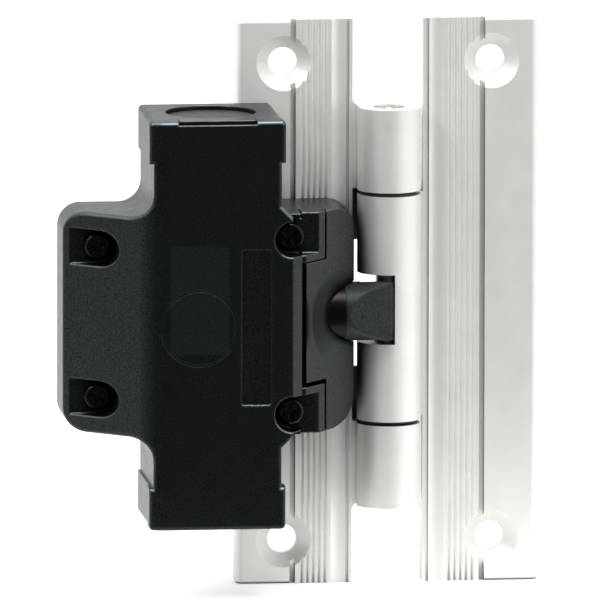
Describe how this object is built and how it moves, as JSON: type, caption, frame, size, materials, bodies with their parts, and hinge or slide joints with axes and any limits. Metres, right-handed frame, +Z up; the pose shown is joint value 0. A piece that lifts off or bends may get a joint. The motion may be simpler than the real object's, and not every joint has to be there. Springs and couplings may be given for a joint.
{
  "type": "safety hinge switch",
  "caption": "Leaf hinge for a guard door with a position switch built on its fixed leaf; opening the door turns a cam that pushes the switch plunger in.",
  "frame": {"origin": "midway between the fixed leaf's two mounting holes, on the leaf's back face", "axes": "+X from the fixed leaf towards the door leaf, +Y into the door frame, +Z up along the hinge pin"},
  "size_m": [0.1066, 0.033, 0.1254],
  "materials": {
    "anodised_aluminium": "fine blasted and clear anodised",
    "pin_steel": "ground",
    "bearing_plastic": "matt",
    "cam_plastic": "smooth matt",
    "black_housing": "fine grained",
    "seal_rubber": "smooth",
    "dark_screw": "black, satin",
    "plug_plastic": "satin",
    "glossy_black": "polished",
    "head_plastic": "smooth satin",
    "spring_steel": "drawn wire",
    "block_plastic": "matt",
    "contact_brass": "bright",
    "zinc_steel": "zinc plated"
  },
  "bodies": {
    "fixed_side": {"fixed_leaf": "anodised_aluminium", "hinge_pin": "pin_steel", "housing_base": "black_housing", "housing_cover": "black_housing", "cover_gasket": "seal_rubber", "left_cover_screws": "dark_screw", "right_cover_screws": "dark_screw", "entry_plug": "plug_plastic", "entry_seal": "seal_rubber", "plunger_seal": "seal_rubber", "plunger_spring": "spring_steel", "contact_block": "block_plastic", "fixed_contacts": "contact_brass", "terminal_clamps": "zinc_steel", "terminal_screws": "zinc_steel", "fixing_screws": "zinc_steel"},
    "door_side": {"door_leaf": "anodised_aluminium", "upper_bush": "bearing_plastic", "lower_bush": "bearing_plastic", "switch_cam": "cam_plastic", "cam_dowel": "pin_steel"},
    "plunger_unit": {"plunger": "glossy_black", "plunger_head": "head_plastic", "contact_bridge": "contact_brass"}
  },
  "joints": [
    {"name": "door_hinge", "type": "hinge", "parent": "fixed_side", "child": "door_side", "pos_m": [0.02295, -0.0075, 0], "axis": [0, 0, -1], "range_deg": [0, 125]},
    {"name": "plunger_slide", "type": "slide", "parent": "fixed_side", "child": "plunger_unit", "axis": [-1, 0, 0], "range_m": [0, 0.0044], "stiffness_N_per_m": 300, "deforming": ["plunger_spring"]}
  ],
  "couplings": [
    {"joint": "plunger_slide", "follows": "door_hinge", "m_per_rad": 0.002}
  ]
}
